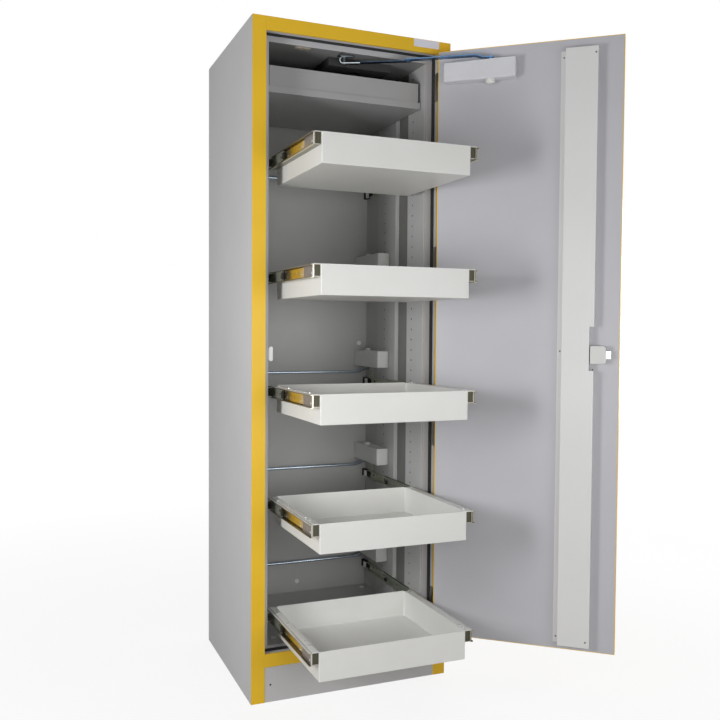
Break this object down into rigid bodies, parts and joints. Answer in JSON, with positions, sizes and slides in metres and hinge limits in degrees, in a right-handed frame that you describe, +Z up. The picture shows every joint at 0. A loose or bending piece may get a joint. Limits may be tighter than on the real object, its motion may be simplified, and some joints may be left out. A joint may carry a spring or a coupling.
{
  "type": "reagent drawer cabinet",
  "caption": "Tall fire-resistant reagent cabinet with full-width pull-out drawers on telescopic runners, a hinged door with closer, a top shelf tray and a roof exhaust collar.",
  "frame": {"origin": "centre of the cabinet's footprint, on the floor", "axes": "+Z up, +Y from the door side to the back wall, +X to the hinge side as seen from the front"},
  "size_m": [0.9941, 0.9358, 1.98],
  "materials": {
    "outer_grey": "fine-textured powder coat",
    "signal_yellow": "satin powder coat",
    "plinth_grey": "fine-textured powder coat",
    "lining_grey": "satin powder coat",
    "door_grey": "satin powder coat",
    "drawer_white": "satin powder coat",
    "zinc_steel": "bright zinc plated",
    "seal_black": "matt swelling seal strip",
    "white_plastic": "fine moulded grain",
    "board": "mineral insulating board",
    "black_plastic": "moulded",
    "blank_plate": "satin, blank"
  },
  "bodies": {
    "cabinet": {"side_panels": "outer_grey", "back_panel": "outer_grey", "top_panel": "outer_grey", "base_panel": "zinc_steel", "plinth_panel": "plinth_grey", "post_left": "signal_yellow", "post_right": "signal_yellow", "rail_top": "signal_yellow", "rail_bottom": "signal_yellow", "rebate_frame": "lining_grey", "fire_seal": "seal_black", "liner_frame": "lining_grey", "liner_sides": "lining_grey", "liner_back": "lining_grey", "liner_ceiling": "lining_grey", "liner_floor": "lining_grey", "insulation": "board", "wall_uprights": "lining_grey", "top_shelf": "lining_grey", "exhaust_duct": "lining_grey", "exhaust_collar": "zinc_steel", "strike_plate": "white_plastic", "wall_caps": "white_plastic", "levelling_feet": "black_plastic", "cabinet_runners": "zinc_steel", "closing_units": "white_plastic", "unit_caps": "white_plastic", "cross_rods": "zinc_steel", "closer_shoe": "zinc_steel", "frame_hinges": "zinc_steel", "name_plate": "blank_plate"},
    "door": {"door_skin": "signal_yellow", "door_panel": "door_grey", "door_insulation": "board", "lock_cover": "drawer_white", "latch_case": "white_plastic", "door_hinges": "zinc_steel", "closer_body": "white_plastic", "closer_cap": "white_plastic", "handle_plate": "black_plastic"},
    "bolt": {"latch_bolt": "white_plastic"},
    "handle": {"door_handle": "black_plastic"},
    "main_arm": {"closer_arm": "zinc_steel"},
    "fore_arm": {"closer_forearm": "zinc_steel"},
    "tray": {"shelf_tray": "lining_grey"},
    "drawer_1": {"drawer_1": "drawer_white", "drawer_runners_1": "zinc_steel"},
    "middle_runner_1": {"middle_runners_1": "zinc_steel"},
    "drawer_2": {"drawer_2": "drawer_white", "drawer_runners_2": "zinc_steel"},
    "middle_runner_2": {"middle_runners_2": "zinc_steel"},
    "drawer_3": {"drawer_3": "drawer_white", "drawer_runners_3": "zinc_steel"},
    "middle_runner_3": {"middle_runners_3": "zinc_steel"},
    "drawer_4": {"drawer_4": "drawer_white", "drawer_runners_4": "zinc_steel"},
    "middle_runner_4": {"middle_runners_4": "zinc_steel"},
    "drawer_5": {"drawer_5": "drawer_white", "drawer_runners_5": "zinc_steel"},
    "middle_runner_5": {"middle_runners_5": "zinc_steel"}
  },
  "joints": [
    {"name": "door_hinge", "type": "hinge", "parent": "cabinet", "child": "door", "pos_m": [0.27345, -0.2781, 1], "axis": [0, 0, 1], "range_deg": [-45, 0]},
    {"name": "handle_turn", "type": "hinge", "parent": "door", "child": "handle", "pos_m": [0.64081, -0.5924, 1.045], "axis": [-0.6561, -0.7547, 0], "range_deg": [0, 45], "stiffness_Nm_per_rad": 0.8, "springref_deg": -28.65},
    {"name": "bolt_slide", "type": "slide", "parent": "door", "child": "bolt", "axis": [-0.7547, 0.6561, 0], "range_m": [0, 0.012]},
    {"name": "main_arm_turn", "type": "hinge", "parent": "door", "child": "main_arm", "pos_m": [0.36418, -0.42667, 1.884], "axis": [0, 0, 1], "range_deg": [0, 2.3]},
    {"name": "fore_arm_turn", "type": "hinge", "parent": "cabinet", "child": "fore_arm", "pos_m": [-0.008, -0.2015, 1.88], "axis": [0, 0, 1], "range_deg": [0, 24.4]},
    {"name": "tray_lift", "type": "slide", "parent": "cabinet", "child": "tray", "axis": [0, 0, 1], "range_m": [0, 0.025]},
    {"name": "drawer_1_slide", "type": "slide", "parent": "cabinet", "child": "drawer_1", "axis": [0, 1, 0], "range_m": [0, 0.367]},
    {"name": "middle_runner_1_slide", "type": "slide", "parent": "cabinet", "child": "middle_runner_1", "axis": [0, 1, 0], "range_m": [0, 0.184]},
    {"name": "drawer_2_slide", "type": "slide", "parent": "cabinet", "child": "drawer_2", "axis": [0, 1, 0], "range_m": [0, 0.367]},
    {"name": "middle_runner_2_slide", "type": "slide", "parent": "cabinet", "child": "middle_runner_2", "axis": [0, 1, 0], "range_m": [0, 0.184]},
    {"name": "drawer_3_slide", "type": "slide", "parent": "cabinet", "child": "drawer_3", "axis": [0, 1, 0], "range_m": [0, 0.367]},
    {"name": "middle_runner_3_slide", "type": "slide", "parent": "cabinet", "child": "middle_runner_3", "axis": [0, 1, 0], "range_m": [0, 0.184]},
    {"name": "drawer_4_slide", "type": "slide", "parent": "cabinet", "child": "drawer_4", "axis": [0, 1, 0], "range_m": [0, 0.367]},
    {"name": "middle_runner_4_slide", "type": "slide", "parent": "cabinet", "child": "middle_runner_4", "axis": [0, 1, 0], "range_m": [0, 0.184]},
    {"name": "drawer_5_slide", "type": "slide", "parent": "cabinet", "child": "drawer_5", "axis": [0, 1, 0], "range_m": [0, 0.367]},
    {"name": "middle_runner_5_slide", "type": "slide", "parent": "cabinet", "child": "middle_runner_5", "axis": [0, 1, 0], "range_m": [0, 0.184]}
  ],
  "couplings": [
    {"joint": "bolt_slide", "follows": "handle_turn", "m_per_rad": 0.015},
    {"joint": "main_arm_turn", "follows": "door_hinge", "ratio": -0.0469},
    {"joint": "fore_arm_turn", "follows": "door_hinge", "ratio": -0.5395},
    {"joint": "middle_runner_1_slide", "follows": "drawer_1_slide", "ratio": 0.5},
    {"joint": "middle_runner_2_slide", "follows": "drawer_2_slide", "ratio": 0.5},
    {"joint": "middle_runner_3_slide", "follows": "drawer_3_slide", "ratio": 0.5},
    {"joint": "middle_runner_4_slide", "follows": "drawer_4_slide", "ratio": 0.5},
    {"joint": "middle_runner_5_slide", "follows": "drawer_5_slide", "ratio": 0.5}
  ]
}
